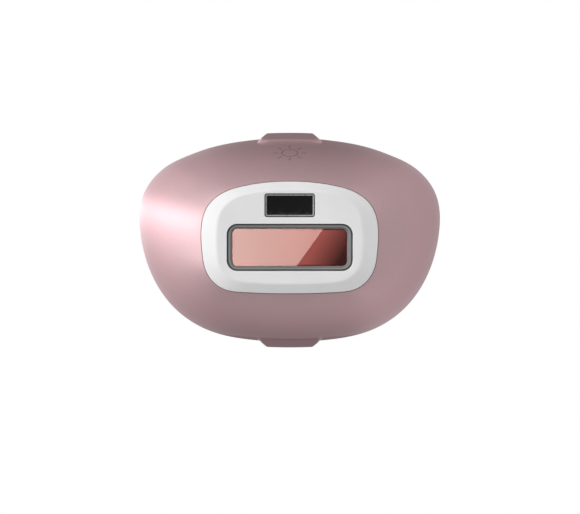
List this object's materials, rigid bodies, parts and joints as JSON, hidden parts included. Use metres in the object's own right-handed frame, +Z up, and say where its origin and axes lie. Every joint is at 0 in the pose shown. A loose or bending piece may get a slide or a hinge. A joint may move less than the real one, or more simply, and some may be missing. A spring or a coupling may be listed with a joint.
{
  "type": "ipl hair remover attachment",
  "caption": "Plug-on treatment head of an IPL hair remover: rose shell, sprung white skin-contact frame, red filter window with reflector, skin sensor and rear snap clips.",
  "frame": {"origin": "on the optical axis through the window's centre, in the plane where the shell's rear rim meets the handset", "axes": "+X to the right and +Z up as seen from the skin side; the light leaves towards -Y; +Y points into the handset"},
  "size_m": [0.08, 0.0295, 0.0571],
  "materials": {
    "shell_paint": "satin metallic rose paint on moulded ABS",
    "frame_white": "satin white skin-contact plastic",
    "bezel_metal": "bead-blasted, anodised grey",
    "filter_glass": "polished red cut-off filter",
    "soft_silicone": "moulded silicone",
    "sensor_ring": "satin grey",
    "sensor_black": "polished, nearly black",
    "light_guide": "clear acrylic",
    "holder_plastic": "heat-resistant moulding",
    "mirror_sheet": "polished aluminium sheet",
    "chassis_plastic": "glass-filled moulding",
    "cover_plastic": "fine spark-eroded texture",
    "bush_plastic": "low-friction moulding",
    "spring_steel": "bright drawn wire and strip",
    "circuit_board": "green solder mask",
    "switch_case": "moulded",
    "switch_plunger": "moulded",
    "chip_black": "moulded epoxy",
    "contact_housing": "moulded",
    "contact_gold": "gold flash",
    "fastener_steel": "zinc plated"
  },
  "bodies": {
    "head": {"outer_shell": "shell_paint", "window_bezel": "bezel_metal", "filter_glass": "filter_glass", "glass_gasket": "soft_silicone", "sensor_bezel": "sensor_ring", "sensor_lens": "sensor_black", "sensor_light_guide": "light_guide", "reflector_holder": "holder_plastic", "reflector_upper_plate": "mirror_sheet", "reflector_lower_plate": "mirror_sheet", "reflector_end_plates": "mirror_sheet", "mouth_seal": "soft_silicone", "chassis": "chassis_plastic", "rear_cover": "cover_plastic", "guide_bushes": "bush_plastic", "frame_springs": "spring_steel", "switch_board": "circuit_board", "contact_switches": "switch_case", "board_components": "chip_black", "contact_block": "contact_housing", "contact_blades": "contact_gold", "clip_feet": "spring_steel", "clip_rivets": "fastener_steel", "case_screws": "fastener_steel", "board_screws": "fastener_steel", "holder_screws": "fastener_steel"},
    "pressed_frame": {"contact_frame": "frame_white"},
    "plungers": {"switch_plungers": "switch_plunger"},
    "left_arm": {"clip_arm_left": "spring_steel"},
    "right_arm": {"clip_arm_right": "spring_steel"}
  },
  "joints": [
    {"name": "contact_frame_press", "type": "slide", "parent": "head", "child": "pressed_frame", "axis": [0, 1, 0], "range_m": [0, 0.0008], "stiffness_N_per_m": 2000, "springref_m": -0.0005, "deforming": ["frame_springs"]},
    {"name": "switch_plunger_travel", "type": "slide", "parent": "head", "child": "plungers", "axis": [0, 1, 0], "range_m": [0, 0.0008]},
    {"name": "left_clip_flex", "type": "hinge", "parent": "head", "child": "left_arm", "pos_m": [-0.0336, -0.0066, 0.0015], "axis": [0, 0, 1], "range_deg": [0, 12], "stiffness_Nm_per_rad": 0.14},
    {"name": "right_clip_flex", "type": "hinge", "parent": "head", "child": "right_arm", "pos_m": [0.0336, -0.0066, 0.0015], "axis": [0, 0, -1], "range_deg": [0, 12], "stiffness_Nm_per_rad": 0.14}
  ],
  "couplings": [
    {"joint": "switch_plunger_travel", "follows": "contact_frame_press", "ratio": 1}
  ]
}
